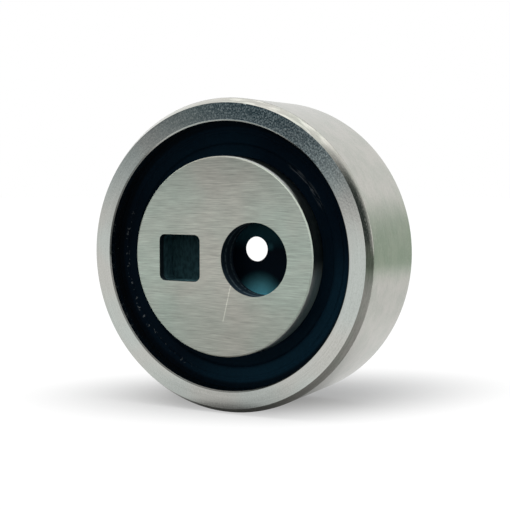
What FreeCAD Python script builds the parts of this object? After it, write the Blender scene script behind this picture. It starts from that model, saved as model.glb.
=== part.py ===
import FreeCAD, Part
import math
import os
import Sketcher

# Timing belt idler bearing: a steel roller ring on a sealed ball bearing round an eccentric hub.
# The spin axis is +Z and the front face looks up.
# The origin is on the axis, level with the hub's rear face.
# +X runs from the square tensioning socket to the mounting bore.

# Driving dimensions in millimetres, and what each one is.
DIMENSIONS = (
    ("ring_outer_diameter", 57.0, "belt track of the roller ring"),
    ("ring_width", 21.8, "roller ring, face to face"),
    ("lead_in_length", 1.6, "lead-in chamfer of the track, along the axis"),
    ("lead_in_depth", 0.92, "lead-in chamfer of the track, towards the axis"),
    ("ring_wall", 4.15, "ring thickness round the recess in each face"),
    ("ring_edge_break", 0.2, "broken inner edge of each ring face"),
    ("seal_seat_width", 1.35, "seat of each seal, from the recess wall to the ring's land"),
    ("bearing_gap", 4.92, "room for balls and cage, from the ring's land to the hub's surface"),
    ("seal_recess_depth", 3.1, "ring face down to the seal's outer surface"),
    ("seal_thickness", 1.5, "seal disc"),
    ("seal_groove_depth", 0.6, "undercut in the ring that holds the seal's rim"),
    ("seal_rim_length", 1.1, "part of the seal's edge that snaps into the undercut"),
    ("seal_fit_clearance", 0.03, "seal rim in its undercut"),
    ("seal_lip_clearance", 0.1, "running gap between the seal's lip and the hub"),
    ("seal_lip_width", 2.0, "thin flexing zone of the seal beside the hub"),
    ("seal_lip_drop", 0.35, "how far the flexing zone is sunk below the disc"),
    ("seal_lip_thickness", 0.6, "flexing zone of the seal"),
    ("seal_flute_offset", 1.87, "moulded flute in the seal's face, from the recess wall to its middle"),
    ("seal_flute_width", 0.7, "moulded flute"),
    ("seal_flute_radius", 0.45, "round of the moulded flute"),
    ("hub_front_proud", 0.65, "hub face above the ring face, front"),
    ("hub_rear_proud", 0.65, "hub face beyond the ring face, rear"),
    ("hub_edge_break", 0.25, "broken edges of the hub"),
    ("ball_diameter", 7.144, "bearing balls"),
    ("ball_count", 10, "balls in the cage"),
    ("race_relief", 0.148, "groove radius of both raceways, beyond the ball's radius"),
    ("race_clearance", 0.05, "gap between a ball and each raceway"),
    ("cage_sheet", 0.7, "sheet of the pressed cage halves"),
    ("cage_ball_clearance", 0.12, "ball in its pocket"),
    ("cage_land_clearance", 0.6, "cage from the shoulders of hub and ring"),
    ("rivet_diameter", 1.5, "rivet shank"),
    ("rivet_head_diameter", 2.5, "rivet head"),
    ("rivet_head_height", 0.5, "rivet head"),
    ("rivet_hole_clearance", 0.05, "rivet shank in its hole, all round"),
    ("bore_offset", 6.53, "mounting bore from the spin axis"),
    ("bore_y", -0.26, "mounting bore from the spin axis, across"),
    ("bore_diameter", 13.2, "mounting bore"),
    ("bore_depth", 4.7, "mounting bore down to its web"),
    ("web_thickness", 1.3, "web between the mounting bore and the rear recess"),
    ("web_hole_diameter", 4.5, "hole through the web"),
    ("web_hole_land", 0.3, "straight part of the web hole above its countersink"),
    ("web_hole_x", 4.72, "web hole from the spin axis, towards the bore"),
    ("web_hole_y", 1.32, "web hole from the spin axis, across"),
    ("rear_recess_diameter", 20.0, "recess in the hub's rear face"),
    ("socket_offset", 8.7, "square socket from the spin axis"),
    ("socket_y", -0.44, "square socket from the spin axis, across"),
    ("socket_width", 8.55, "square socket across flats"),
    ("socket_corner", 1.15, "corner radius of the square socket"),
    ("socket_depth", 4.7, "square socket"),
)


class Size:
    """A length that carries its number and the spreadsheet expression it comes from."""

    def __init__(self, number, text):
        self.number = number
        self.text = text

    def __add__(self, other):
        other = as_size(other)
        return Size(self.number + other.number, f"({self.text} + {other.text})")

    def __sub__(self, other):
        other = as_size(other)
        return Size(self.number - other.number, f"({self.text} - {other.text})")

    def __mul__(self, other):
        other = as_size(other)
        return Size(self.number * other.number, f"({self.text} * {other.text})")

    def __truediv__(self, other):
        other = as_size(other)
        return Size(self.number / other.number, f"({self.text} / {other.text})")

    def root(self):
        return Size(math.sqrt(self.number), f"sqrt({self.text})")


def as_size(value):
    if isinstance(value, Size):
        return value
    return Size(value, repr(value))


ZERO = as_size(0.0)


def make_sheet(doc):
    """Write the dimensions to a spreadsheet and return them as sizes by name."""
    sheet = doc.addObject("Spreadsheet::Sheet", "dimensions")
    sizes = {}
    for row, (alias, number, meaning) in enumerate(DIMENSIONS, start=1):
        sheet.set(f"A{row}", str(number))
        sheet.setAlias(f"A{row}", alias)
        sheet.set(f"B{row}", meaning)
        sizes[alias] = Size(number, f"dimensions.{alias}")
    doc.recompute()
    return sizes


class Layout:
    """Places and radii that several pieces share, worked out from the driving dimensions."""

    def __init__(self, d):
        self.track_radius = d["ring_outer_diameter"] / 2
        self.recess_radius = self.track_radius - d["ring_wall"]
        self.land_radius = self.recess_radius - d["seal_seat_width"]
        self.hub_radius = self.land_radius - d["bearing_gap"]
        self.hub_length = d["hub_rear_proud"] + d["ring_width"] + d["hub_front_proud"]
        self.ring_rear = d["hub_rear_proud"]
        self.ring_front = d["hub_rear_proud"] + d["ring_width"]
        self.middle = d["hub_rear_proud"] + d["ring_width"] / 2
        self.pitch_radius = self.land_radius - d["bearing_gap"] / 2
        self.ball_radius = d["ball_diameter"] / 2
        self.race_radius = self.ball_radius + d["race_relief"]
        self.race_half_length = self.half_length_of_race(d)
        self.pocket_radius = self.ball_radius + d["cage_ball_clearance"]
        half_step = as_size(180.0) / d["ball_count"]
        self.rivet_x = turned(self.pitch_radius, "cos", half_step)
        self.rivet_y = turned(self.pitch_radius, "sin", half_step)

    def half_length_of_race(self, d):
        """Half the length of each raceway groove, up to where its arc meets the land."""
        centre_to_land = d["bearing_gap"] / 2 + d["race_relief"] - d["race_clearance"]
        return (self.race_radius * self.race_radius - centre_to_land * centre_to_land).root()


def turned(radius, function, degrees):
    """One coordinate of a point on a circle round the axis: cos gives x and sin gives y."""
    factor = getattr(math, function)(math.radians(degrees.number))
    return Size(radius.number * factor, f"({radius.text} * {function}({degrees.text}))")


def origin_feature(body, role):
    return next(feature for feature in body.Origin.OriginFeatures if feature.Role == role)


def new_body(doc, label):
    body = doc.addObject("PartDesign::Body", label)
    body.Label = label
    return body


def attach(body, item, role, offset):
    """Attach an item to one of the body's origin planes, moved by an offset in that plane's own axes."""
    item.AttachmentSupport = [(origin_feature(body, role), "")]
    item.MapMode = "FlatFace"
    for axis, size in zip("xyz", offset):
        item.setExpression(f".AttachmentOffset.Base.{axis}", size.text)


def new_sketch(body, name, role, offset=(ZERO, ZERO, ZERO)):
    sketch = body.newObject("Sketcher::SketchObject", name)
    attach(body, sketch, role, offset)
    return sketch


def bind(sketch, constraint, size):
    index = sketch.addConstraint(constraint)
    sketch.setExpression(f"Constraints[{index}]", size.text)


def pin_coordinate(sketch, geometry, end, kind, axis, size):
    """Hold one coordinate of a corner: on the axis where it is zero, at a bound distance elsewhere."""
    if size is ZERO:
        sketch.addConstraint(Sketcher.Constraint("PointOnObject", geometry, end, axis))
    else:
        bind(sketch, Sketcher.Constraint(kind, -1, 1, geometry, end, size.number), size)


def arc_middle(start, finish, radius, turn):
    """Middle of the short arc between two points, its centre on the left (turn 1) or right (turn -1)."""
    chord = finish - start
    to_centre = FreeCAD.Vector(-chord.y, chord.x, 0).normalize() * turn
    height = math.sqrt(radius ** 2 - (chord.Length / 2) ** 2)
    return (start + finish) / 2 + to_centre * (height - radius)


def draw_loop(sketch, corners):
    """Draw a closed loop through corners (x, y) or (x, y, radius, turn), the latter starting an arc."""
    pieces = []
    for corner, following in zip(corners, corners[1:] + corners[:1]):
        start = FreeCAD.Vector(corner[0].number, corner[1].number, 0)
        finish = FreeCAD.Vector(following[0].number, following[1].number, 0)
        first, last = 1, 2
        if len(corner) == 2:
            index = sketch.addGeometry(Part.LineSegment(start, finish))
        else:
            radius, turn = corner[2:]
            middle = arc_middle(start, finish, radius.number, turn)
            index = sketch.addGeometry(Part.Arc(start, middle, finish))
            if turn < 0:
                first, last = 2, 1
            bind(sketch, Sketcher.Constraint("Radius", index, radius.number), radius)
        pieces.append((index, first, last))
    for number, (index, first, last) in enumerate(pieces):
        before, _, before_last = pieces[number - 1]
        sketch.addConstraint(Sketcher.Constraint("Coincident", before, before_last, index, first))
        pin_coordinate(sketch, index, first, "DistanceX", -2, corners[number][0])
        pin_coordinate(sketch, index, first, "DistanceY", -1, corners[number][1])


def draw_circle(sketch, radius):
    """Draw a circle round the sketch's own origin."""
    circle = Part.Circle(FreeCAD.Vector(0, 0, 0), FreeCAD.Vector(0, 0, 1), radius.number)
    index = sketch.addGeometry(circle)
    sketch.addConstraint(Sketcher.Constraint("Coincident", index, 3, -1, 1))
    bind(sketch, Sketcher.Constraint("Radius", index, radius.number), radius)


def turn_profile(body, name, kind, corners, offset=(ZERO, ZERO, ZERO)):
    """Turn a profile of (radius, height) corners round the upright axis through its offset."""
    sketch = new_sketch(body, f"{name}_profile", "XZ_Plane", offset)
    draw_loop(sketch, corners)
    feature = body.newObject(kind, name)
    feature.Profile = sketch
    feature.ReferenceAxis = (sketch, ["V_Axis"])
    feature.Angle = 360
    return feature


def cut_pocket(body, name, sketch, depth, upward=False):
    pocket = body.newObject("PartDesign::Pocket", name)
    pocket.Profile = sketch
    pocket.setExpression("Length", depth.text)
    pocket.Reversed = upward
    return pocket


def add_sphere(body, name, kind, radius, place):
    sphere = body.newObject(kind, name)
    attach(body, sphere, "XY_Plane", place)
    sphere.setExpression("Radius", radius.text)
    return sphere


def repeat_round_axis(body, name, feature):
    """Repeat a feature once for each ball."""
    pattern = body.newObject("PartDesign::PolarPattern", name)
    pattern.Originals = [feature]
    pattern.Axis = (origin_feature(body, "Z_Axis"), [""])
    pattern.Angle = 360
    pattern.setExpression("Occurrences", "dimensions.ball_count")
    body.Tip = pattern
    return pattern


def make_ring(doc, d, at):
    """Roller ring: track with lead-in chamfers, seal recesses with undercuts, and the outer raceway."""
    outer, recess = at.track_radius, at.recess_radius
    undercut = recess + d["seal_groove_depth"]
    seal_seat = d["seal_recess_depth"] + d["seal_thickness"]
    undercut_top = seal_seat - d["seal_rim_length"] - d["seal_fit_clearance"]
    rear, front = at.ring_rear, at.ring_front
    body = new_body(doc, "outer_ring")
    turn_profile(body, "ring_turning", "PartDesign::Revolution", [
        (recess + d["ring_edge_break"], rear),
        (outer - d["lead_in_depth"], rear),
        (outer, rear + d["lead_in_length"]),
        (outer, front - d["lead_in_length"]),
        (outer - d["lead_in_depth"], front),
        (recess + d["ring_edge_break"], front),
        (recess, front - d["ring_edge_break"]),
        (recess, front - undercut_top),
        (undercut, front - undercut_top),
        (undercut, front - seal_seat),
        (at.land_radius, front - seal_seat),
        (at.land_radius, at.middle + at.race_half_length, at.race_radius, -1),
        (at.land_radius, at.middle - at.race_half_length),
        (at.land_radius, rear + seal_seat),
        (undercut, rear + seal_seat),
        (undercut, rear + undercut_top),
        (recess, rear + undercut_top),
        (recess, rear + d["ring_edge_break"]),
    ])
    return body


def make_hub(doc, d, at):
    """Eccentric hub: inner raceway, mounting bore with a holed web, rear recess and square socket."""
    radius, length, broken = at.hub_radius, at.hub_length, d["hub_edge_break"]
    body = new_body(doc, "eccentric_hub")
    turn_profile(body, "hub_turning", "PartDesign::Revolution", [
        (ZERO, ZERO),
        (radius - broken, ZERO),
        (radius, broken),
        (radius, at.middle - at.race_half_length, at.race_radius, -1),
        (radius, at.middle + at.race_half_length),
        (radius, length - broken),
        (radius - broken, length),
        (ZERO, length),
    ])
    bore = new_sketch(body, "bore_circle", "XY_Plane", (d["bore_offset"], d["bore_y"], length))
    draw_circle(bore, d["bore_diameter"] / 2)
    cut_pocket(body, "mounting_bore", bore, d["bore_depth"])

    recess = new_sketch(body, "recess_circle", "XY_Plane")
    draw_circle(recess, d["rear_recess_diameter"] / 2)
    web_bottom = length - d["bore_depth"] - d["web_thickness"]
    cut_pocket(body, "rear_recess", recess, web_bottom, upward=True)

    hole = d["web_hole_diameter"] / 2
    countersink = d["web_thickness"] - d["web_hole_land"]
    turn_profile(body, "web_hole", "PartDesign::Groove", [
        (ZERO, ZERO),
        (hole + countersink, ZERO),
        (hole, countersink),
        (hole, d["web_thickness"]),
        (ZERO, d["web_thickness"]),
    ], (d["web_hole_x"], web_bottom, ZERO - d["web_hole_y"]))

    width, corner = d["socket_width"], d["socket_corner"]
    socket_corner = (ZERO - d["socket_offset"] - width / 2, d["socket_y"] - width / 2, length)
    square = new_sketch(body, "socket_square", "XY_Plane", socket_corner)
    draw_loop(square, [
        (corner, ZERO),
        (width - corner, ZERO, corner, 1),
        (width, corner),
        (width, width - corner, corner, 1),
        (width - corner, width),
        (corner, width, corner, 1),
        (ZERO, width - corner),
        (ZERO, corner, corner, 1),
    ])
    cut_pocket(body, "square_socket", square, d["socket_depth"])
    return body


def make_seal(doc, d, at, label, face, inward):
    """Moulded seal: rim for the ring's undercut, fluted disc, and a thin lip beside the hub."""

    def level(depth):
        return face + depth * inward

    lip = at.hub_radius + d["seal_lip_clearance"]
    lip_root = lip + d["seal_lip_width"]
    disc_start = lip_root + d["seal_lip_drop"]
    lip_bottom = d["seal_lip_drop"] + d["seal_lip_thickness"]
    flute = at.recess_radius - d["seal_flute_offset"]
    flute_half = d["seal_flute_width"] / 2
    disc_edge = at.recess_radius - d["seal_fit_clearance"]
    rim_edge = disc_edge + d["seal_groove_depth"]
    rim_top = d["seal_thickness"] - d["seal_rim_length"]
    body = new_body(doc, label)
    turn_profile(body, f"{label}_moulding", "PartDesign::Revolution", [
        (lip, level(lip_bottom)),
        (lip, level(d["seal_lip_drop"])),
        (lip_root, level(d["seal_lip_drop"])),
        (disc_start, face),
        (flute - flute_half, face, d["seal_flute_radius"], -inward),
        (flute + flute_half, face),
        (disc_edge, face),
        (disc_edge, level(rim_top)),
        (rim_edge, level(rim_top)),
        (rim_edge, level(d["seal_thickness"])),
        (disc_start, level(d["seal_thickness"])),
        (lip_root, level(lip_bottom)),
    ])
    return body


def make_cage_half(doc, d, at, label, upward):
    """Pressed half of the ribbon cage: flat ring, spherical pocket over each ball, rivet holes between."""
    inner = at.hub_radius + d["cage_land_clearance"]
    outer = at.land_radius - d["cage_land_clearance"]
    dome = at.pocket_radius + d["cage_sheet"]
    side = 1 if upward else -1
    beyond = dome * 2
    body = new_body(doc, label)
    turn_profile(body, f"{label}_plate", "PartDesign::Revolution", [
        (inner, at.middle),
        (outer, at.middle),
        (outer, at.middle + d["cage_sheet"] * side),
        (inner, at.middle + d["cage_sheet"] * side),
    ])
    ball_place = (at.pitch_radius, ZERO, at.middle)
    bulge = add_sphere(body, f"{label}_dome", "PartDesign::AdditiveSphere", dome, ball_place)
    repeat_round_axis(body, f"{label}_domes", bulge)
    turn_profile(body, f"{label}_trim", "PartDesign::Groove", [
        (ZERO, at.middle - beyond * side),
        (outer + beyond, at.middle - beyond * side),
        (outer + beyond, at.middle + beyond * side),
        (outer, at.middle + beyond * side),
        (outer, at.middle),
        (inner, at.middle),
        (inner, at.middle + beyond * side),
        (ZERO, at.middle + beyond * side),
    ])
    pocket_kind = "PartDesign::SubtractiveSphere"
    pocket = add_sphere(body, f"{label}_pocket", pocket_kind, at.pocket_radius, ball_place)
    repeat_round_axis(body, f"{label}_pockets", pocket)
    rivet_place = (at.rivet_x, at.rivet_y, at.middle)
    hole_circle = new_sketch(body, f"{label}_hole_circle", "XY_Plane", rivet_place)
    draw_circle(hole_circle, d["rivet_diameter"] / 2 + d["rivet_hole_clearance"])
    hole = cut_pocket(body, f"{label}_hole", hole_circle, d["cage_sheet"], upward)
    repeat_round_axis(body, f"{label}_holes", hole)
    return body


def make_rivets(doc, d, at):
    """Domed rivets through both cage halves, one between each two balls."""
    shank = d["rivet_diameter"] / 2
    head = d["rivet_head_diameter"] / 2
    height = d["rivet_head_height"]
    dome = (head * head + height * height) / (height * 2)
    grip = d["cage_sheet"] * 2
    bottom = at.middle - d["cage_sheet"] - height
    body = new_body(doc, "cage_rivets")
    rivet = turn_profile(body, "rivet_turning", "PartDesign::Revolution", [
        (ZERO, ZERO, dome, 1),
        (head, height),
        (shank, height),
        (shank, height + grip),
        (head, height + grip, dome, 1),
        (ZERO, height * 2 + grip),
    ], (at.rivet_x, bottom, ZERO - at.rivet_y))
    repeat_round_axis(body, "rivet_circle", rivet)
    return body


def make_balls(doc, d, at):
    """Balls spread evenly round the pitch circle."""
    balls = []
    for number in range(int(d["ball_count"].number)):
        label = f"ball_{number + 1:02d}"
        ball = doc.addObject("Part::Sphere", label)
        ball.Label = label
        ball.setExpression("Radius", at.ball_radius.text)
        angle = as_size(360.0 * number) / d["ball_count"]
        ball.setExpression(".Placement.Base.x", turned(at.pitch_radius, "cos", angle).text)
        ball.setExpression(".Placement.Base.y", turned(at.pitch_radius, "sin", angle).text)
        ball.setExpression(".Placement.Base.z", at.middle.text)
        balls.append(ball)
    return balls


def check_document(doc, pieces):
    """Stop if an object failed, a cut removed nothing, or a piece has no valid shape."""
    for item in doc.Objects:
        if "Invalid" in item.State or "Error" in item.State:
            raise RuntimeError(f"{item.Label} failed: {item.State}")
        if item.TypeId in ("PartDesign::Pocket", "PartDesign::Groove"):
            if item.Shape.Volume > item.BaseFeature.Shape.Volume - 0.001:
                raise RuntimeError(f"{item.Label} removes nothing")
    for piece in pieces:
        if piece.Shape.isNull() or not piece.Shape.isValid():
            raise RuntimeError(f"{piece.Label} has no valid shape")


def main():
    doc = FreeCAD.newDocument("idler_bearing")
    sizes = make_sheet(doc)
    at = Layout(sizes)
    seal_recess = sizes["seal_recess_depth"]
    pieces = [
        make_ring(doc, sizes, at),
        make_hub(doc, sizes, at),
        make_seal(doc, sizes, at, "front_seal", at.ring_front - seal_recess, -1),
        make_seal(doc, sizes, at, "rear_seal", at.ring_rear + seal_recess, 1),
        make_cage_half(doc, sizes, at, "cage_front", True),
        make_cage_half(doc, sizes, at, "cage_rear", False),
        make_rivets(doc, sizes, at),
    ]
    pieces += make_balls(doc, sizes, at)
    doc.recompute()
    check_document(doc, pieces)
    os.makedirs("parts", exist_ok=True)
    for piece in pieces:
        piece.Shape.exportStep(f"parts/{piece.Label}.step")
        print(piece.Label, len(piece.Shape.Solids), round(piece.Shape.Volume, 2))


main()
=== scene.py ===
import math

import bpy
from mathutils import Matrix, Vector


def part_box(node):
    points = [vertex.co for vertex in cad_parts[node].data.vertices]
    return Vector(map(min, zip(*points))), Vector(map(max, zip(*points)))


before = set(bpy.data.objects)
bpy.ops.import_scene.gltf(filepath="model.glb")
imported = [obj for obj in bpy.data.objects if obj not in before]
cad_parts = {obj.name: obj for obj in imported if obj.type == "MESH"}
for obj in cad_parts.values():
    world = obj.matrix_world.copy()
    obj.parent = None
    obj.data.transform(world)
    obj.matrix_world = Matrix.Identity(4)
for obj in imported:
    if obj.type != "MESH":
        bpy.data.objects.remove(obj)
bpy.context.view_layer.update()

# Millimetres in a metre. Blender's lengths are metres, and sizes on the part are written in millimetres.
MILLIMETRES = 1000.0

# Sizes of the part in millimetres: the outer ones come from the frame, the others are the CAD's own.
ring_low, ring_high = [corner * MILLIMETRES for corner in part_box("outer_ring")]
hub_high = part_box("eccentric_hub")[1] * MILLIMETRES
TRACK_RADIUS = ring_high.x
RING_FRONT = ring_high.z
RING_MIDDLE = (ring_low.z + ring_high.z) / 2
RING_WALL = 4.15
RING_EDGE_BREAK = 0.2
RECESS_RADIUS = TRACK_RADIUS - RING_WALL
LEAD_IN_DEPTH = 0.92
LEAD_IN_START = TRACK_RADIUS - LEAD_IN_DEPTH
HUB_RADIUS = hub_high.x
HUB_FRONT = hub_high.z
BORE_CENTRE = (6.53, -0.26)
BORE_RADIUS = 6.6
SOCKET_CENTRE = (-8.7, -0.44)
SOCKET_HALF = 4.275
POCKET_DEPTH = 4.7
POCKET_FLOOR = HUB_FRONT - POCKET_DEPTH
LIP_ROOT_OFFSET = 2.1
LIP_ROOT_RADIUS = HUB_RADIUS + LIP_ROOT_OFFSET
FLUTE_OFFSET = 1.87
FLUTE_RADIUS = RECESS_RADIUS - FLUTE_OFFSET

# Angle in degrees from the axis to the shading normal of a lead-in chamfer: at its inner edge, what is
# added evenly across it, and what is added between the two shares of its depth where it is rounded.
LEAD_IN_TILT = 57.5
LEAD_IN_CROWN = 8.0
LEAD_IN_ROUNDING = 24.5
LEAD_IN_ROUNDED = (0.9, 0.99)

# Margin in millimetres that keeps the flat faces out of the lead-in chamfers' mask.
LEAD_IN_MARGIN = 0.004

# Marks on the front faces in millimetres. A reach is the pair of distances between which a mark fades,
# and a scratch fades from a little inside its ends to a little outside them.
SCRATCH_END_INSIDE = 0.3
SCRATCH_END_OUTSIDE = 0.2
RING_NICK = (4.54, 27.4)
RING_NICK_REACH = (0.1, 0.5)
RING_SCRATCHES = (
    ((8.49, 24.79), (10.25, 23.37)),
    ((9.3, 25.6), (10.6, 24.2)),
    ((15.26, 18.66), (16.03, 17.63)),
)
RING_SCRATCH_HALF = 0.09
HUB_SCRATCH = ((2.1, -4.74), (0.45, -11.68))
HUB_SCRATCH_HALF = 0.13
HUB_SCRATCH_WAVER = 0.2
HUB_STAIN = (-8.0, -6.0)
HUB_STAIN_REACH = (0.4, 2.2)
HUB_STAIN_SQUEEZE = 0.4
# Painted light on the bore's floor: a pool of light low down and a glint.
BORE_LIGHT_POOL = (5.4, -7.6)
BORE_LIGHT_POOL_REACH = (1.0, 5.4)
BORE_PAINTED_GLINT = (7.5, 1.8)
BORE_PAINTED_GLINT_REACH = (0.2, 1.0)
BORE_RING_DEPTHS = (1.7, 3.6)
BORE_RING_REACH = (0.1, 0.4)
FLUTE_REACH = (0.2, 0.6)
LIP_REACH = (0.2, 0.7)

# Slow changes over hub and seal in millimetres: the y at which the hub's face is brightest, and pairs
# of places or distances between which a change happens. The hub's bright line and its fading are painted
# light and shade, the flank's and seal's sheens are painted, and the seal gets painted shade at its rim.
HUB_PAINTED_LIGHT_Y = 3.0
HUB_PAINTED_FADE = (5.0, 17.0)
HUB_COOLS = (2.0, 13.0)
PAINTED_SHEEN_BEGINS = (14.0, 17.0)
BORE_FLOOR_LIGHTENS = (1.0, 5.0)
SEAL_BRIGHTENS = (20.2, 21.1)
SEAL_DULLS = (22.6, 23.5)
SEAL_RIM_PAINTED_SHADE = (23.0, 23.7)

# Directions round the axis, as (x, y).
UPPER_RIGHT = (0.42, 0.91)
LOWER_RIGHT = (0.707, -0.707)
# Directions of the seals' painted sheen.
PAINTED_SHEEN_SIDE = (0.57, -0.82)
PAINTED_SHEEN_TOP = (-0.34, 0.94)

# Height in metres of the relief in steel, polished steel and rubber.
STEEL_RELIEF = 0.000008
POLISHED_RELIEF = 0.000002
RUBBER_RELIEF = 0.000006

# Turn of the brushed highlight, as a share of a whole turn.
QUARTER_TURN = 0.25

# Colours of ring and hub, as linear red, green and blue.
RING_WARM = (0.545, 0.545, 0.51)
RING_COOL = (0.52, 0.555, 0.525)
# Pits on the ring's face: this colour is also a painted reflection of the room's dark part.
RING_PITS_REFLECTION = (0.47, 0.55, 0.56)
TRACK_CLEAN = (0.565, 0.555, 0.507)
TRACK_SMUDGED = (0.535, 0.548, 0.49)
HUB_WARM = (0.6, 0.59, 0.525)
HUB_COOL = (0.53, 0.605, 0.53)
HUB_STAINED = (0.5, 0.46, 0.41)
# Painted sheen on the hub's flank, dark deep and pale at the front, and a painted highlight crescent.
PAINTED_SHEEN_DEEP = (0.36, 0.47, 0.48)
PAINTED_SHEEN_FRONT = (0.93, 0.96, 0.95)
PAINTED_CRESCENT_COLOUR = (0.9, 0.91, 0.9)

# Colours of the dark socket and bore; BORE_PAINTED_LIGHT is a painted pool of light and a painted glint.
SOCKET_FLOOR_DARK = (0.042, 0.105, 0.122)
SOCKET_FLOOR_PALE = (0.085, 0.2, 0.225)
SOCKET_WALL_DARK = (0.06, 0.14, 0.165)
SOCKET_WALL_PALE = (0.11, 0.25, 0.28)
SOCKET_MOUTH = (0.02, 0.035, 0.045)
BORE_FLOOR_DARK = (0.002, 0.008, 0.016)
BORE_FLOOR_LIGHT = (0.04, 0.16, 0.2)
BORE_PAINTED_LIGHT = (0.2, 0.7, 0.82)
BORE_WALL = (0.026, 0.046, 0.066)
BORE_BEADS = (0.15, 0.21, 0.24)

# Colours of seals, cage and balls.
RUBBER_DARK = (0.0012, 0.005, 0.012)
# RUBBER_PAINTED_SHEEN is a painted sheen on the seals.
RUBBER_PAINTED_SHEEN = (0.0135, 0.056, 0.096)
RUBBER_DUSTY = (0.2, 0.22, 0.24)
CAGE_CLEAN = (0.46, 0.43, 0.38)
CAGE_GREASY = (0.36, 0.31, 0.24)
BALL_CLEAN = (0.6, 0.61, 0.62)
BALL_GREASY = (0.52, 0.5, 0.45)

# Colours of floor and room.
WHITE = (1.0, 1.0, 1.0)
FLOOR_DARK = (0.43, 0.43, 0.43)
FLOOR_PALE = (0.46, 0.46, 0.46)
# Painted greenish tint in what steel mirrors of the floor.
FLOOR_PAINTED_TINT = (0.9, 1.08, 0.9)
ROOM_WALLS = (0.95, 0.95, 0.95)
ROOM_FRONT_LEFT = (0.006, 0.038, 0.056)
ROOM_BEHIND = (0.45, 0.54, 0.45)
ROOM_RIGHT = (0.035, 0.045, 0.043)
ROOM_RIGHT_LOW = (0.11, 0.125, 0.11)
ROOM_BELOW = (0.36, 0.37, 0.37)
ROOM_LIGHT = (0.25, 0.255, 0.26)

# The photograph's camera: its angles from the front, its place in metres, its lens from the image's pixels.
TURN = math.radians(27.557)
LIFT = math.radians(4.315)
SIN_TURN = math.sin(TURN)
COS_TURN = math.cos(TURN)
CAMERA_DISTANCE = 0.205
CAMERA_RIGHT = 0.005783
CAMERA_UP = 0.000337
CAMERA_CLIP = (0.01, 10.0)
FOCAL_PIXELS = 1141.3
IMAGE_PIXELS = 510.0
SENSOR_MILLIMETRES = 36.0

# The roller stands on its rim as in the photograph, so the floor is level with the track, at -Y. Lengths
# on the floor are in metres; its x runs to the right and its y backwards in the photograph.
RIM = -TRACK_RADIUS / MILLIMETRES
FLOOR_PLACE = (0, RIM, 0.003)
FLOOR_CORNERS = (-0.6, -0.6, 1.5, 1.5)
# The floor's painted shadow round the roller fades to white between these distances.
FLOOR_PAINTED_SHADOW_FADES = (0.005, 0.032)
FLOOR_FADES = (0.1, 0.29)
SPECKLES_PER_METRE = 300.0
STRIP_MIDDLE = -0.0085
STRIP_HALF = 0.011
# Painted shadow and painted dimming round the strip under the roller, as steel mirrors them.
STRIP_PAINTED_SHADOW = (0.004, 0.035)
STRIP_PAINTED_DIM = (0.01, 0.075)

# The lamp, in metres and watts.
LAMP_PLACE = (-0.02, 0.32, 0.08)
LAMP_TARGET = (0, RIM, 0.008)
LAMP_ALONG = (COS_TURN, 0, -SIN_TURN)
LAMP_SIZE = (0.5, 0.16)
LAMP_POWER = 0.9


class Field:
    """A number that varies over a surface: a node socket with arithmetic that adds Math nodes."""

    def __init__(self, graph, socket):
        self.graph = graph
        self.socket = socket

    def __add__(self, other):
        return self.graph.math("ADD", self, other)

    def __sub__(self, other):
        return self.graph.math("SUBTRACT", self, other)

    def __rsub__(self, other):
        return self.graph.math("SUBTRACT", other, self)

    def __mul__(self, other):
        return self.graph.math("MULTIPLY", self, other)

    def __truediv__(self, other):
        return self.graph.math("DIVIDE", self, other)

    __radd__ = __add__

    def absolute(self):
        return self.graph.math("ABSOLUTE", self)

    def root(self):
        return self.graph.math("SQRT", self)

    def at_least(self, other):
        return self.graph.math("MAXIMUM", self, other)

    def at_most(self, other):
        return self.graph.math("MINIMUM", self, other)

    def above(self, limit):
        """1 above the limit and 0 up to it."""
        return self.graph.math("GREATER_THAN", self, limit)

    def rise(self, low, high):
        """0 below low, 1 above high and a smooth step between."""
        return self.graph.step(self, low, high, 0.0, 1.0)

    def fall(self, low, high):
        """1 below low, 0 above high and a smooth step between."""
        return self.graph.step(self, low, high, 1.0, 0.0)


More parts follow.
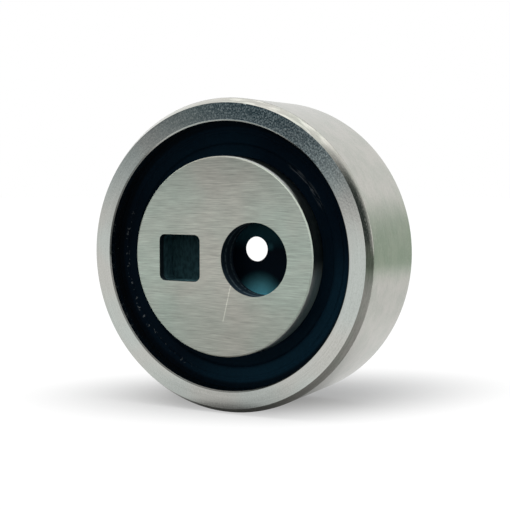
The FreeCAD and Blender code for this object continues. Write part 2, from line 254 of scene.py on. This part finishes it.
class Graph:
    """Short calls that add nodes to a tree."""

    def __init__(self, tree):
        self.nodes = tree.nodes
        self.links = tree.links
        self.nodes.clear()

    def add(self, kind, inputs=None, **settings):
        node = self.nodes.new(kind)
        for key, value in settings.items():
            setattr(node, key, value)
        for key, value in (inputs or {}).items():
            self.feed(node.inputs[key], value)
        return node

    def feed(self, socket, value):
        """Link a socket to a field or another socket, or set it to a plain value."""
        if isinstance(value, Field):
            value = value.socket
        if isinstance(value, bpy.types.NodeSocket):
            self.links.new(value, socket)
        else:
            socket.default_value = value

    def field(self, node, output=0):
        return Field(self, node.outputs[output])

    def math(self, operation, first, second=0.0):
        return self.field(self.add("ShaderNodeMath", {0: first, 1: second}, operation=operation))

    def step(self, value, low, high, start, end):
        inputs = {"Value": value, "From Min": low, "From Max": high, "To Min": start, "To Max": end}
        return self.field(self.add("ShaderNodeMapRange", inputs, interpolation_type="SMOOTHSTEP"))

    def vector(self, x, y, z):
        return self.add("ShaderNodeCombineXYZ", {"X": x, "Y": y, "Z": z}).outputs[0]

    def split(self, vector):
        node = self.add("ShaderNodeSeparateXYZ", {0: vector})
        return [self.field(node, axis) for axis in range(3)]

    def place(self):
        """Place on the object in millimetres."""
        coordinates = self.add("ShaderNodeTexCoord").outputs["Object"]
        return self.split(self.scale(coordinates, MILLIMETRES))

    def noise(self, x, y, z, w=0.0, *, detail, rough=0.5):
        """Cloudy number round 0.5; the larger the factors in the coordinates, the finer it is."""
        inputs = {"Vector": self.vector(x, y, z), "W": w, "Scale": 1.0, "Detail": detail, "Roughness": rough}
        return self.field(self.add("ShaderNodeTexNoise", inputs, noise_dimensions="4D"))

    def mix(self, factor, first, second):
        """Colour between two colours, on the sockets that a Mix node has for colours: 6, 7 and 2."""
        node = self.add("ShaderNodeMix", data_type="RGBA")
        self.feed(node.inputs["Factor"], factor)
        for socket, colour in ((node.inputs[6], first), (node.inputs[7], second)):
            self.feed(socket, colour if isinstance(colour, bpy.types.NodeSocket) else (*colour, 1.0))
        return node.outputs[2]

    def scale(self, vector, factor):
        """Colour or place times a number."""
        return self.add("ShaderNodeVectorMath", {0: vector, "Scale": factor}, operation="SCALE").outputs[0]

    def bump(self, height, metres, normal=None):
        node = self.add("ShaderNodeBump", {"Height": height, "Distance": metres})
        if normal is not None:
            self.feed(node.inputs["Normal"], normal)
        return node.outputs[0]

    def shade(self, **inputs):
        """The surface shader; the keywords are its input names with underscores."""
        named = {key.replace("_", " "): value for key, value in inputs.items()}
        surface = self.add("ShaderNodeBsdfPrincipled", named)
        self.add("ShaderNodeOutputMaterial", {"Surface": surface.outputs[0]})


def new_material(name):
    """An empty material and its graph."""
    material = bpy.data.materials.new(name)
    material.use_nodes = True
    return material, Graph(material.node_tree)


def round_axis(x, y):
    """Distance from the spin axis, and the direction from it as two numbers."""
    radius = (x * x + y * y).root()
    return radius, x / radius, y / radius


def facing(cos, sin, direction):
    """How far a place round the axis lies in a direction: about 1 there and about -1 opposite."""
    return cos * direction[0] + sin * direction[1]


def distance(x, y, place):
    """Distance in the face's plane from a place (x, y)."""
    across = x - place[0]
    up = y - place[1]
    return (across * across + up * up).root()


def streak(x, y, ends, half_width):
    """Thin straight mark between two places on a face, 1 on the mark and 0 off it."""
    start, end = ends
    length = math.dist(start, end)
    cos = (end[0] - start[0]) / length
    sin = (end[1] - start[1]) / length
    across = x - start[0]
    up = y - start[1]
    along = across * cos + up * sin
    aside = (up * cos - across * sin).absolute()
    after_start = along.rise(-SCRATCH_END_OUTSIDE, SCRATCH_END_INSIDE)
    before_end = along.fall(length - SCRATCH_END_INSIDE, length + SCRATCH_END_OUTSIDE)
    return aside.fall(half_width * 0.4, half_width) * after_start * before_end


def crowned_lead_in(graph, radius, cos, sin, z):
    """Normal that rounds the lead-in chamfers into the track, how far out on them it is, and their mask."""
    outward = ((radius - LEAD_IN_START) / LEAD_IN_DEPTH).at_least(0.0).at_most(1.0)
    tilt = outward * math.radians(LEAD_IN_CROWN)
    tilt = tilt + outward.rise(*LEAD_IN_ROUNDED) * math.radians(LEAD_IN_ROUNDING)
    tilt = tilt + math.radians(LEAD_IN_TILT)
    out = graph.math("SINE", tilt)
    along = graph.math("COSINE", tilt) * graph.math("SIGN", z - RING_MIDDLE)
    inputs = {"Vector": graph.vector(cos * out, sin * out, along)}
    spaces = {"convert_from": "OBJECT", "convert_to": "WORLD"}
    crown = graph.add("ShaderNodeVectorTransform", inputs, vector_type="NORMAL", **spaces).outputs[0]
    plain = graph.add("ShaderNodeNewGeometry").outputs["Normal"]
    on_lead_in = radius.above(LEAD_IN_START + LEAD_IN_MARGIN)
    return graph.mix(on_lead_in, plain, crown), outward, on_lead_in


# The weights and noise scales in the materials were set by comparing renders with the photograph.
def make_roller_steel():
    """Turned faces and ground track: tool marks run round the axis, with short strokes across the light."""
    material, graph = new_material("roller_steel")
    x, y, z = graph.place()
    radius, cos, sin = round_axis(x, y)

    # Masks, 1 on a part of the ring and 0 elsewhere; the mask of the lead-in takes in the track too.
    normal, outward, on_lead_in = crowned_lead_in(graph, radius, cos, sin, z)
    on_track = radius.rise(TRACK_RADIUS - 0.05, TRACK_RADIUS - 0.02)
    on_face = z.rise(RING_FRONT - 0.06, RING_FRONT - 0.02)
    edge_radius = RECESS_RADIUS + RING_EDGE_BREAK
    edge_height = RING_FRONT - RING_EDGE_BREAK
    on_edge = radius.fall(edge_radius, edge_radius + 0.08) * z.rise(edge_height - 0.05, edge_height)

    # Texture of the metal.
    marks = graph.noise(cos * 1.6, sin * 1.6, radius * 7.0, z * 7.0, detail=4.0, rough=0.6)
    strokes = graph.noise(cos * 14.0, sin * 14.0, radius * 5.0, z * 5.0, detail=3.0, rough=0.6)
    patches = graph.noise(cos * 3.0, sin * 3.0, radius * 0.5, z * 0.25, detail=2.0)
    grit = graph.noise(x * 4.6, y * 2.7, z * 4.6, detail=0.0)
    smudge = graph.noise(x * 0.3, y * 0.3, z * 0.3, detail=3.0).rise(0.35, 0.65)
    tint = graph.noise(x * 0.09, y * 0.09, z * 0.09, detail=1.0).rise(0.4, 0.6)

    # Wear and painted light: pits on the face, which are also darker and bluer there as a painted
    # reflection;
    # a nick and scratches; rubbed patches on the lead-in, only at the top as a painted highlight; and an
    # inner edge with a painted highlight at the top and painted shade elsewhere.
    pits_and_reflection = facing(cos, sin, UPPER_RIGHT).rise(0.75, 0.98) * on_face
    nicks = distance(x, y, RING_NICK).fall(*RING_NICK_REACH)
    for ends in RING_SCRATCHES:
        nicks = nicks.at_least(streak(x, y, ends, RING_SCRATCH_HALF) * grit * 0.3)
    # Inner edge: a painted highlight at the top and painted shade elsewhere; the nick and scratches are
    # wear.
    wear_and_highlight = (nicks * on_face).at_least(on_edge * sin.rise(0.72, 0.92) * 0.7)
    edge_painted_shade = on_edge * sin.fall(0.72, 0.92)
    # Rubbed patches on the lead-in, placed only at the top right, as a painted highlight.
    rubbed_and_highlight = graph.noise(cos * 7.0, sin * 7.0, radius * 2.2, z * 0.4, detail=3.0).rise(0.44, 0.62)
    rubbed_and_highlight = rubbed_and_highlight * sin.rise(0.62, 0.8) * cos.rise(-0.1, 0.12)

    shade = 0.69 + marks * 0.3 + strokes * 0.14 + patches * 0.12 + (grit - 0.5) * (0.2 + pits_and_reflection * 0.7)
    shade = shade + wear_and_highlight * 0.3 - edge_painted_shade * 0.64 - pits_and_reflection * 0.13 - on_track * (0.05 + smudge * 0.06)
    shade = shade + (on_lead_in - on_track) * (strokes * 0.5 + outward * 0.1 - 0.2 + rubbed_and_highlight * 0.5)
    colour = graph.mix(tint, RING_WARM, RING_COOL)
    colour = graph.mix(pits_and_reflection * 0.7, colour, RING_PITS_REFLECTION)
    colour = graph.mix(on_lead_in, colour, graph.mix(smudge, TRACK_CLEAN, TRACK_SMUDGED))
    coarse = grit.rise(0.5, 0.7) * (0.06 - on_track * 0.04)
    relief = marks * 0.3 + strokes * 0.2 + grit * (0.3 + pits_and_reflection * 0.5)
    graph.shade(
        Base_Color=graph.scale(colour, shade),
        Metallic=1.0,
        Roughness=0.06 + strokes * 0.05 + patches * 0.03 + coarse + on_track * 0.1 + wear_and_highlight * 0.4,
        Normal=graph.bump(relief, STEEL_RELIEF, normal),
        Tangent=graph.add("ShaderNodeTangent", direction_type="RADIAL", axis="Z").outputs[0],
        Anisotropic=0.6,
        Anisotropic_Rotation=QUARTER_TURN,
    )
    return material


def socket_colour(graph, x, y, z, on_floor):
    """Dark socket: streaked floor and walls, darkest at the mouth."""
    streaks = graph.noise(x * 2.2, y * 0.9, z * 2.0, detail=3.0).rise(0.35, 0.65)
    floor = graph.mix(streaks, SOCKET_FLOOR_DARK, SOCKET_FLOOR_PALE)
    wall = graph.mix(streaks, SOCKET_WALL_DARK, SOCKET_WALL_PALE)
    wall = graph.mix(z.rise(HUB_FRONT - 1.7, HUB_FRONT - 1.2), wall, SOCKET_MOUTH)
    return graph.mix(on_floor, wall, floor)


def bore_colour(graph, x, y, z, on_floor):
    """Dark bore: floor lighter towards the top, painted light pool low down, painted glint, wall with rings
    of beads.
    """
    light_pool = distance(x, y, BORE_LIGHT_POOL).fall(*BORE_LIGHT_POOL_REACH)
    painted_glint = distance(x, y, BORE_PAINTED_GLINT).fall(*BORE_PAINTED_GLINT_REACH)
    floor = graph.mix(y.rise(*BORE_FLOOR_LIGHTENS), BORE_FLOOR_DARK, BORE_FLOOR_LIGHT)
    floor = graph.mix(light_pool.at_least(painted_glint * 0.18), floor, BORE_PAINTED_LIGHT)
    depth = HUB_FRONT - z
    upper, lower = [(depth - ring).absolute().fall(*BORE_RING_REACH) for ring in BORE_RING_DEPTHS]
    beads = graph.noise(x * 2.0, y * 2.0, z * 1.2, detail=2.0).rise(0.3, 0.6)
    wall = graph.mix(upper.at_least(lower) * beads, BORE_WALL, BORE_BEADS)
    return graph.mix(on_floor, wall, floor)


def flank_painted_sheen(graph, cos, sin, z):
    """Where painted sheen lies on the hub's flank, in two stretches, one a highlight crescent, and its
    colour, paler in front.
    """
    painted_crescent = facing(cos, sin, UPPER_RIGHT).rise(0.82, 0.98) * z.rise(HUB_FRONT - 1.6, HUB_FRONT - 0.5)
    painted_sheen = facing(cos, sin, LOWER_RIGHT).rise(0.7, 0.86).at_least(painted_crescent) * z.rise(*PAINTED_SHEEN_BEGINS)
    colour = graph.mix(z.rise(HUB_FRONT - 2.2, HUB_FRONT - 0.1), PAINTED_SHEEN_DEEP, PAINTED_SHEEN_FRONT)
    return painted_sheen, graph.mix(painted_crescent, colour, PAINTED_CRESCENT_COLOUR)


def make_hub_steel():
    """Straight-grained brushed face, turned flank with painted sheen, dark walls and floors in bore and
    socket.
    """
    material, graph = new_material("hub_steel")
    x, y, z = graph.place()
    radius, cos, sin = round_axis(x, y)

    # Masks, 1 on a part of the hub and 0 elsewhere.
    on_face = z.rise(HUB_FRONT - 0.08, HUB_FRONT - 0.04)
    on_edge = radius.rise(HUB_RADIUS - 0.25, HUB_RADIUS - 0.2) * z.rise(HUB_FRONT - 0.26, HUB_FRONT - 0.22)
    on_flank = radius.rise(HUB_RADIUS - 0.3, HUB_RADIUS - 0.2) * z.fall(HUB_FRONT - 0.24, HUB_FRONT - 0.2)
    on_floor = z.fall(POCKET_FLOOR + 0.1, POCKET_FLOOR + 0.4)
    in_bore = distance(x, y, BORE_CENTRE).fall(BORE_RADIUS + 0.03, BORE_RADIUS + 0.05)
    socket_reach = (x - SOCKET_CENTRE[0]).absolute().at_least((y - SOCKET_CENTRE[1]).absolute())
    in_socket = socket_reach.fall(SOCKET_HALF + 0.03, SOCKET_HALF + 0.05)
    sunk = z.fall(HUB_FRONT - 0.05, HUB_FRONT - 0.02) * z.rise(POCKET_FLOOR - 0.32, POCKET_FLOOR - 0.28)
    black = in_bore.at_least(in_socket) * sunk

    # Texture of the metal: straight grain on the face, turning marks elsewhere, a scratch and a stain.
    wavy = y + graph.noise(x * 0.15, y * 0.4, z, detail=1.0) * 0.5
    grain = graph.noise(x * 0.26, wavy * 4.6, 0.0, detail=5.0, rough=0.62)
    bands = graph.noise(x * 0.05, wavy * 1.3, 3.0, detail=2.0)
    turned = graph.noise(cos * 1.6, sin * 1.6, radius * 6.0, z * 6.0, detail=3.0)
    lines = turned + (grain - turned) * on_face
    soot = graph.noise(x * 0.8, y * 0.8, z * 0.8, detail=4.0)
    cloud = graph.noise(x * 0.11, y * 0.11, 7.0, detail=2.0).rise(0.35, 0.65)
    scratch = streak(x + grain * HUB_SCRATCH_WAVER, y, HUB_SCRATCH, HUB_SCRATCH_HALF) * on_face
    stain_place = (HUB_STAIN[0] * HUB_STAIN_SQUEEZE, HUB_STAIN[1])
    stain = distance(x * HUB_STAIN_SQUEEZE, y, stain_place).fall(*HUB_STAIN_REACH) * bands * on_face

    # Bare steel is painted brightest along one line of the face, with painted shade away from it, and is
    # cooler to both sides.
    cool = x.absolute().rise(*HUB_COOLS) * 0.7 + cloud * 0.4
    painted_dimming = (y - HUB_PAINTED_LIGHT_Y).absolute().rise(*HUB_PAINTED_FADE)
    steel = graph.mix(stain * 0.5, graph.mix(cool, HUB_WARM, HUB_COOL), HUB_STAINED)
    steel = graph.scale(steel, 0.22 + lines * 1.34 + bands * 0.24)
    steel = graph.scale(steel, 0.75 + on_face * 0.22 - painted_dimming * 0.2 + scratch * 0.35 + on_edge * 0.7)
    # Painted sheen low on the right of the flank and a painted highlight crescent at its upper right.
    painted_sheen, painted_sheen_colour = flank_painted_sheen(graph, cos, sin, z)
    painted_sheen = painted_sheen * on_flank
    steel = graph.mix(painted_sheen, steel, graph.scale(painted_sheen_colour, 0.7 + turned * 0.6))

    bore = bore_colour(graph, x, y, z, on_floor)
    socket = socket_colour(graph, x, y, z, on_floor)
    dark = graph.scale(graph.mix(in_socket, bore, socket), 0.7 + soot * 0.6)
    graph.shade(
        Base_Color=graph.mix(black, steel, dark),
        Metallic=1.0 - black - painted_sheen,
        Roughness=0.22 + on_face * 0.08 + lines * 0.16 + black * 0.2 + on_edge * 0.2,
        Normal=graph.bump(lines + soot * black + scratch, STEEL_RELIEF),
        Tangent=graph.vector(1.0, 0.0, 0.0),
        Anisotropic=0.5,
        Anisotropic_Rotation=QUARTER_TURN,
        Specular_IOR_Level=0.04,
    )
    return material


def make_seal_rubber():
    """Dark moulded rubber with dust in the flute, scuffs at the lip, painted sheen in two places and painted
    shade at the rim.
    """
    material, graph = new_material("seal_rubber")
    x, y, z = graph.place()
    radius, cos, sin = round_axis(x, y)
    skin = graph.noise(x * 2.5, y * 2.5, z * 2.5, detail=4.0)
    cloud = graph.noise(x * 0.12, y * 0.12, z * 0.12, detail=2.0)

    in_flute = (radius - FLUTE_RADIUS).absolute().fall(*FLUTE_REACH)
    dusty_side = cos.fall(-0.75, -0.2) * sin.fall(0.1, 0.5)
    specks = graph.noise(x * 2.1, y * 2.1, z * 2.1, detail=0.0).rise(0.66, 0.72)
    dust = specks * in_flute * dusty_side

    at_lip = (radius - LIP_ROOT_RADIUS).absolute().fall(*LIP_REACH)
    scuffed_side = cos.rise(0.55, 0.65) * sin.rise(0.4, 0.5) * cos.fall(0.88, 0.92)
    scratches = graph.noise(cos * 9.0, sin * 9.0, radius * 5.0, detail=2.0).rise(0.51, 0.59)
    scuff = scratches * at_lip * scuffed_side

    # Painted sheen: strongest in a band across the seal, low on the right and at the top.
    middle = 0.3 + radius.rise(*SEAL_BRIGHTENS) * 0.6 - radius.rise(*SEAL_DULLS) * 0.55
    painted_seal_sheen = facing(cos, sin, PAINTED_SHEEN_SIDE).rise(0.38, 1.0) * middle
    painted_seal_sheen = painted_seal_sheen + facing(cos, sin, PAINTED_SHEEN_TOP).rise(0.7, 1.0) * 0.22
    rubber = graph.mix(painted_seal_sheen + cloud * 0.2, RUBBER_DARK, RUBBER_PAINTED_SHEEN)
    # Painted shade: darker at the outer rim, next to the ring's wall.
    rubber = graph.scale(rubber, 0.7 + skin * 0.6 - radius.rise(*SEAL_RIM_PAINTED_SHADE) * 0.6)
    graph.shade(
        Base_Color=graph.mix((dust * 0.8).at_least(scuff * 0.5), rubber, RUBBER_DUSTY),
        Roughness=0.24 + skin * 0.16 + scuff * 0.2,
        Normal=graph.bump(skin + dust * 2.0, RUBBER_RELIEF),
        Specular_IOR_Level=0.02,
    )
    return material


def make_cage_steel():
    """Pressed sheet with a faint draw grain and a film of old grease."""
    material, graph = new_material("cage_steel")
    x, y, z = graph.place()
    radius, cos, sin = round_axis(x, y)
    draw = graph.noise(cos * 5.0, sin * 5.0, radius * 4.0, z * 4.0, detail=3.0)
    grease = graph.noise(x * 0.5, y * 0.5, z * 0.5, detail=3.0)
    graph.shade(
        Base_Color=graph.scale(graph.mix(grease, CAGE_CLEAN, CAGE_GREASY), 0.8 + draw * 0.4),
        Metallic=1.0,
        Roughness=0.25 + grease * 0.2,
        Normal=graph.bump(draw, STEEL_RELIEF),
    )
    return material


def make_ball_steel():
    """Polished balls with faint lapping lines and a little grease."""
    material, graph = new_material("ball_steel")
    x, y, z = graph.place()
    lapping = graph.noise(x * 1.2, y * 6.0, z * 6.0, detail=4.0)
    grease = graph.noise(x * 0.6, y * 0.6, z * 0.6, detail=2.0)
    graph.shade(
        Base_Color=graph.scale(graph.mix(grease, BALL_CLEAN, BALL_GREASY), 0.9 + lapping * 0.2),
        Metallic=1.0,
        Roughness=0.06 + grease * 0.1,
        Normal=graph.bump(lapping, POLISHED_RELIEF),
    )
    return material


def mirrored_floor(x, y):
    """Painted brightness of the floor where steel mirrors it, with painted shadow round the roller, and
    where it is tinted greenish there.
    """
    # The same place across the spin axis and backwards along it.
    beside = x * COS_TURN - y * SIN_TURN
    along = x * SIN_TURN + y * COS_TURN

    # Zones of the floor, each with the places in metres between which it begins.
    rear_right = beside.rise(0.0, 0.008) * along.rise(-0.015, -0.007)
    ahead = along.fall(-0.035, -0.022)
    right_behind = x.rise(0.0, 0.05) * y.rise(0.0, 0.03)
    right_ahead = x.rise(-0.025, 0.02) * y.fall(-0.02, 0.005)
    far_right = x.rise(0.025, 0.25)
    far_right_ahead = x.rise(0.08, 0.2) * y.fall(-0.03, 0.0)
    far_behind = (x * x + y * y).root().rise(*FLOOR_FADES) * y.rise(-0.1, 0.1)

    # Distance from the strip under the roller; it counts for more at the rear right and well ahead, so
    # that the painted shadow round the strip is narrower there.
    beyond = ((along - STRIP_MIDDLE).absolute() - STRIP_HALF).at_least(0.0) * 1.8
    near = (beside * beside + beyond * beyond).root()
    tight = near * (1.0 + rear_right + ahead * 0.7)

    # Painted light and shade that steel mirrors: dimmer far behind and to the right, with a painted shadow
    # and wider painted dimming round the strip.
    bright = 0.92 - far_behind * 0.36 - right_behind * 0.06 - right_ahead * (0.55 + far_right * 0.25)
    bright = bright * (1.0 - tight.fall(*STRIP_PAINTED_SHADOW) * 0.95) * (1.0 - near.fall(*STRIP_PAINTED_DIM) * 0.3)
    return bright, far_behind.at_least(far_right_ahead)


def make_floor_material():
    """Pale floor, white away from the object, that keeps its shadow and adds a painted one; sight from below
    passes through it.
    """
    material, graph = new_material("floor_pale")
    x, y, z = graph.split(graph.add("ShaderNodeTexCoord").outputs["Object"])
    light = graph.add("ShaderNodeLightPath")
    in_mirror = graph.field(light, "Is Glossy Ray")
    seen = graph.field(light, "Is Camera Ray").at_least(graph.field(light, "Is Transmission Ray"))

    # Painted shadow: the floor's glow that the camera sees is dimmer near the roller; only there does it
    # also take the lamp's real shadow.
    slanted = y - x.at_least(0.0) * 0.2
    far = (x * x * 0.3 + slanted * slanted * 0.85).root().rise(*FLOOR_PAINTED_SHADOW_FADES)
    bright, painted_tint = mirrored_floor(x, y)
    glow = seen * (0.27 + far * 0.76) + in_mirror * bright
    glow_colour = graph.mix(painted_tint * in_mirror, WHITE, FLOOR_PAINTED_TINT)
    emission = graph.add("ShaderNodeEmission", {"Color": glow_colour, "Strength": glow}).outputs[0]

    speckle = graph.noise(x * SPECKLES_PER_METRE, y * SPECKLES_PER_METRE, z, detail=2.0)
    pale = graph.scale(graph.mix(speckle, FLOOR_DARK, FLOOR_PALE), 1.0 - far * 0.95)
    diffuse = graph.add("ShaderNodeBsdfDiffuse", {"Color": pale}).outputs[0]
    surface = graph.add("ShaderNodeAddShader", {0: diffuse, 1: emission}).outputs[0]

    clear = graph.add("ShaderNodeBsdfTransparent").outputs[0]
    under = graph.field(graph.add("ShaderNodeNewGeometry"), "Backfacing")
    through = under.at_least(graph.field(light, "Transparent Depth").above(0.5))
    surface = graph.add("ShaderNodeMixShader", {0: through, 1: surface, 2: clear}).outputs[0]
    graph.add("ShaderNodeOutputMaterial", {"Surface": surface})
    return material


def make_plane(name, matrix, corners, material):
    """Flat staged rectangle; corners are (x0, y0, x1, y1) in its own plane, in metres."""
    x0, y0, x1, y1 = corners
    mesh = bpy.data.meshes.new(name)
    mesh.from_pydata([(x0, y0, 0), (x1, y0, 0), (x1, y1, 0), (x0, y1, 0)], [], [(0, 1, 2, 3)])
    mesh.materials.append(material)
    plane = bpy.data.objects.new(name, mesh)
    plane.matrix_world = matrix
    bpy.context.scene.collection.objects.link(plane)


def make_world():
    """White studio: even light, with the darker parts of the room that the steel reflects."""
    world = bpy.data.worlds.new("studio")
    world.use_nodes = True
    bpy.context.scene.world = world
    graph = Graph(world.node_tree)
    direction = graph.add("ShaderNodeTexCoord").outputs["Generated"]
    x, y, z = graph.split(direction)

    def towards(aim, wide, narrow):
        """1 within the narrow angle of a direction and 0 beyond the wide one, in degrees."""
        inputs = {0: direction, 1: Vector(aim).normalized()}
        dot = graph.field(graph.add("ShaderNodeVectorMath", inputs, operation="DOT_PRODUCT"), "Value")
        return dot.rise(math.cos(math.radians(wide)), math.cos(math.radians(narrow)))

    # Where the darker parts lie; the one in front on the left has a lower edge that is softer further left.
    leftward = x.fall(-0.53, -0.48)
    front_left = (y + x * 0.19).rise(leftward * -0.04 - 0.15, leftward * 0.025 - 0.035)
    front_left = front_left * y.fall(0.35, 0.5) * z.rise(0.6, 0.75) * x.fall(-0.3, -0.14)
    behind = towards((0.35, -0.08, -0.93), wide=21.0, narrow=7.0)
    sideways = (z + y.fall(0.0, 0.1) * 0.05 + 0.06).absolute().fall(0.14, 0.34)
    right = towards((0.965, 0.258, -0.05), wide=58.0, narrow=14.0) * sideways
    pale_patch = towards((0.45, -0.88, -0.2), wide=78.0, narrow=20.0)
    below = y.fall(-0.25, -0.07) * (1.0 - pale_patch)

    room = graph.mix(front_left, ROOM_WALLS, ROOM_FRONT_LEFT)
    room = graph.mix(behind, room, ROOM_BEHIND)
    room = graph.mix(right, room, graph.mix(y.fall(0.02, 0.14), ROOM_RIGHT, ROOM_RIGHT_LOW))
    room = graph.mix(below, room, ROOM_BELOW)

    # The camera sees white, glossy and transmitted rays see the room, and the rest is plain light.
    light = graph.add("ShaderNodeLightPath")
    by_camera = graph.field(light, "Is Camera Ray")
    seen = graph.field(light, "Is Glossy Ray").at_least(graph.field(light, "Is Transmission Ray"))
    colour = graph.mix(seen.at_least(by_camera), ROOM_LIGHT, graph.mix(by_camera, room, WHITE))
    background = graph.add("ShaderNodeBackground", {"Color": colour, "Strength": 1.0}).outputs[0]
    graph.add("ShaderNodeOutputWorld", {"Surface": background})


def make_lamp(name, place, target, along, size, power):
    """Soft box whose long side lies along a direction; it lights the scene but isn't mirrored in steel."""
    lamp = bpy.data.lights.new(name, "AREA")
    lamp.shape = "RECTANGLE"
    lamp.size, lamp.size_y = size
    lamp.energy = power
    back = (Vector(place) - Vector(target)).normalized()
    side = back.cross(Vector(along)).normalized()
    item = bpy.data.objects.new(name, lamp)
    item.matrix_world = Matrix((side.cross(back), side, back)).transposed().to_4x4()
    item.matrix_world.translation = place
    item.visible_glossy = False
    bpy.context.scene.collection.objects.link(item)


def make_camera():
    """Camera of the photograph: in front of the face, to the right and a little above."""
    data = bpy.data.cameras.new("photo_camera")
    data.sensor_fit = "HORIZONTAL"
    data.sensor_width = SENSOR_MILLIMETRES
    data.lens = SENSOR_MILLIMETRES * FOCAL_PIXELS / IMAGE_PIXELS
    data.clip_start, data.clip_end = CAMERA_CLIP
    back = Vector((SIN_TURN * math.cos(LIFT), math.sin(LIFT), COS_TURN * math.cos(LIFT)))
    right = Vector((0, 1, 0)).cross(back).normalized()
    up = back.cross(right)
    face = Vector((0, 0, RING_FRONT / MILLIMETRES))
    camera = bpy.data.objects.new("photo_camera", data)
    camera.matrix_world = Matrix((right, up, back)).transposed().to_4x4()
    camera.matrix_world.translation = face + back * CAMERA_DISTANCE + right * CAMERA_RIGHT + up * CAMERA_UP
    bpy.context.scene.collection.objects.link(camera)
    bpy.context.scene.camera = camera


def dress(names, material):
    """Give CAD nodes a material, in a single slot."""
    for name in names:
        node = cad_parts[name]
        node.data.materials.clear()
        node.data.materials.append(material)


dress(["outer_ring"], make_roller_steel())
dress(["eccentric_hub"], make_hub_steel())
dress(["front_seal", "rear_seal"], make_seal_rubber())
dress(["cage_front", "cage_rear", "cage_rivets"], make_cage_steel())
balls = sorted(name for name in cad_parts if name.startswith("ball_"))
dress(balls, make_ball_steel())

upright = Matrix.Rotation(TURN, 4, "Y") @ Matrix.Rotation(-math.pi / 2, 4, "X")
make_plane("floor", Matrix.Translation(FLOOR_PLACE) @ upright, FLOOR_CORNERS, make_floor_material())
make_world()
make_lamp("top_softbox", LAMP_PLACE, LAMP_TARGET, LAMP_ALONG, LAMP_SIZE, LAMP_POWER)
make_camera()
bpy.context.scene.view_settings.view_transform = "Standard"
